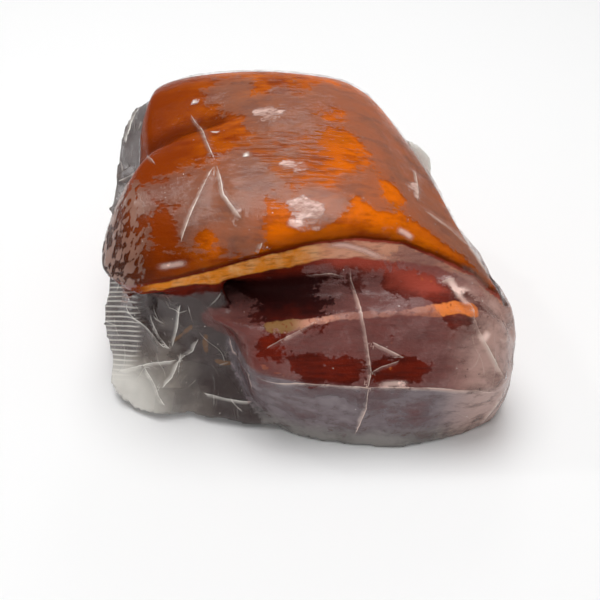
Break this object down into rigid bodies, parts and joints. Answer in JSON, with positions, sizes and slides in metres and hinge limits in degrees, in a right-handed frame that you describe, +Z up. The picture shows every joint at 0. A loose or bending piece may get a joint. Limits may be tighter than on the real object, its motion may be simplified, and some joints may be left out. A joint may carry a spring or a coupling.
{
  "type": "vacuum-packed smoked pork knuckle",
  "caption": "Smoked pork knuckle with a brown domed rind and a dark lean cut face, sealed tight in a clear vacuum bag with loose crumpled edges.",
  "frame": {"origin": "middle of the bounding box in X and Y, at the flat underside that rests on the table", "axes": "+Z up through the domed rind, -Y out of the cut face with the lean meat, +X towards the thinner right end"},
  "size_m": [0.167, 0.1658, 0.0997],
  "materials": {
    "smoked_rind_under_film": "glossy clear film over smoked amber-brown rind and dark lean meat"
  },
  "bodies": {
    "root": {"sealed_knuckle": "smoked_rind_under_film"}
  },
  "joints": []
}
